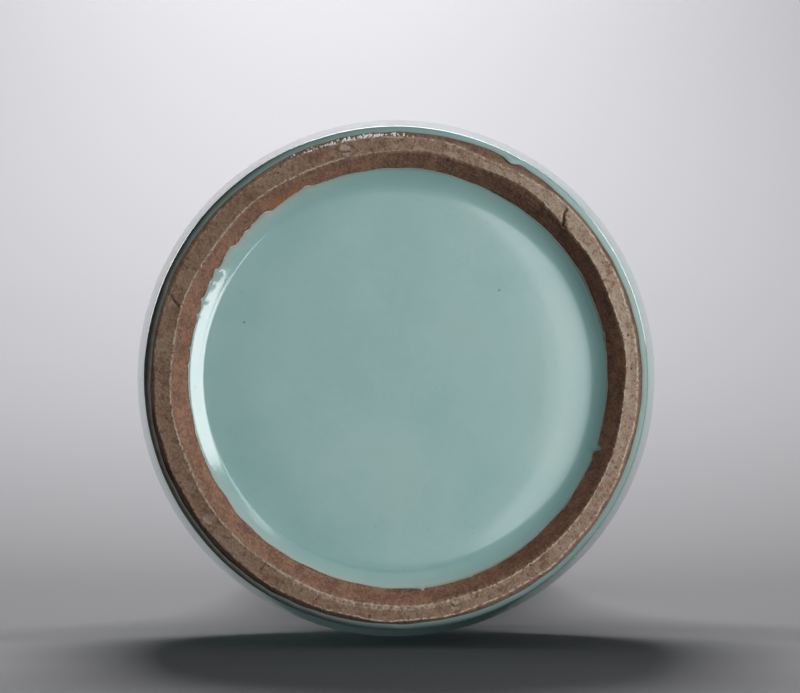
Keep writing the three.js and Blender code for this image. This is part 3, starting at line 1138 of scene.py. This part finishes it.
# (name, place as the vase lies, aim, size, watts, what it lights, in diffuse light, in the gloss)
lamps = [
    ("rightSoftbox", (0.48, -0.02, -0.37), (0, 0, 0), (0.28, 0.52), 3.5, "foot", True, True),
    ("rightGlint", (0.47, -0.02, -0.38), (0, 0, 0), (0.22, 0.44), 0.5, "recess", False, True),
    ("glintLow", (0.33, -0.2, -0.47), (0, 0, 0), (0.15, 0.24), 0.5, "recess", False, True),
    ("glintHigh", (0.33, 0.22, -0.47), (0, 0, 0), (0.13, 0.3), 0.35, "recess", False, True),
    ("leftCardTall", (-0.24, 0, -1.1), (0, 0, 0), (0.28, 0.5), 1.3, "recess", False, True),
    ("leftCardSoft", (-0.1, 0, -1.12), (0, 0, 0), (0.28, 0.5), 0.5, "recess", False, True),
    ("frontCard", (0, -0.2, -1.12), (0, 0, 0), (0.75, 0.4), 0.35, "recess", False, True),
    ("footFill", (-0.1, 0.8, -0.9), (0, 0, 0), (1.0, 0.6), 5.2, "foot", True, False),
    ("rightWash", (0.5, 0.27, -0.46), (0, 0, 0), (0.4, 0.4), 4.8, "coat", True, False),
    ("sideSoftbox", (0.9, 0.3, 0.35), (0, 0, 0.12), (0.9, 0.35), 1.2, "coat", True, False),
    ("rimRight", (0.75, 0.35, 0.8), (0, 0, 0.1), (0.3, 0.5), 3.4, "coat", False, True),
    ("rimTop", (0.05, 0.75, 0.95), (0, 0, 0.1), (0.7, 0.5), 8.5, "coat", False, True),
    ("rimLeft", (-0.7, 0.15, 0.95), (0, 0, 0.1), (0.3, 0.6), 5, "coat", False, True),
    ("backSoftbox", (-0.55, -0.4, 1.1), (0, 0, 0.15), (0.6, 0.5), 3, "coat", True, True),
    ("backFill", (-0.8, -0.6, 0.7), (0, 0, 0.15), (0.8, 0.8), 5, "coat", True, False),
    ("mouthSoftbox", (-0.1, 0.95, 1.4), (0, 0, 0.2), (0.8, 0.8), 7, "coat", True, False),
    ("backdropSoftbox", (-0.05, 0.75, 0.75), (-0.05, 0.4, 1.1), (0.2, 0.2), 17.8, "paper", True, False),
    ("tableFill", (0.45, 0.13, -0.4), (0, -0.09, 0), (0.4, 0.4), 1.5, "paper", True, False),
    ("farSoftbox", (-0.03, 0.6, 1.35), (0, -0.05, 0.1), (0.42, 0.28), 128, "paper", True, False),
    ("ceilingSoftbox", (1.8, 4.2, 20), (0, 0, 0), (13, 13), 4200, "floor", True, False),
]
lampColour = (0.98, 0.99, 1.0)
ovalLamps = ("rightSoftbox", "rightGlint", "glintLow", "glintHigh", "footFill")


def makeLamps(sheets, floor):
    groups = {
        "foot": [footRing, baseGlaze, glazeCrumbs],
        "recess": [baseGlaze],
        "coat": [outerGlaze, innerGlaze],
        "paper": sheets,
        "floor": [floor],
    }
    for name, where, aim, size, watts, lights, diffuse, gloss in lamps:
        clearSelection()
        bpy.ops.object.light_add(type="AREA")
        lamp = bpy.context.object
        lamp.name = name
        lamp.data.shape = "ELLIPSE" if name in ovalLamps else "RECTANGLE"
        lamp.data.size = size[0]
        lamp.data.size_y = size[1]
        lamp.data.energy = watts
        lamp.data.color = lampColour
        lamp.visible_camera = False
        lamp.visible_diffuse = diffuse
        lamp.visible_glossy = gloss
        lamp.matrix_world = facing(lying(*where), lying(*aim) - lying(*where))
        group = bpy.data.collections.new(name + "Lights")
        for thing in groups[lights]:
            group.objects.link(thing)
        lamp.light_linking.receiver_collection = group


sky = {
    "below": 0.035,
    "above": 0.18,
    "start": 0.25,
    "end": 0.85,
    "air": (0.97, 0.98, 1.0, 1),
    "seen": (0.74, 0.74, 0.75, 1),
}


def makeSky():  # bright above the mouth, dark below the foot, pale where the camera sees it
    world = bpy.data.worlds.new("studioAir")
    world.use_nodes = True
    world.node_tree.nodes.clear()
    bpy.context.scene.world = world
    tree = Wire(world.node_tree)
    heading = tree.node("ShaderNodeTexCoord", None, None, "Generated")
    glow = heading.z().step(sky["start"], sky["end"]) * (sky["above"] - sky["below"]) + sky["below"]
    lit = tree.node("ShaderNodeBackground", None, {"Color": sky["air"], "Strength": glow})
    seen = tree.node("ShaderNodeBackground", None, {"Color": sky["seen"], "Strength": 1.0})
    direct = tree.node("ShaderNodeLightPath", None, None, "Is Camera Ray")
    both = tree.node("ShaderNodeMixShader", None, {0: direct, 1: lit, 2: seen})
    tree.node("ShaderNodeOutputWorld", None, {"Surface": both})


makeFlag()
makeLamps(makeSweep(), makeFloor())
makeSky()
bpy.context.scene.view_settings.view_transform = "Standard"
print("studio: sweep, floor,", len(lamps), "lamps")
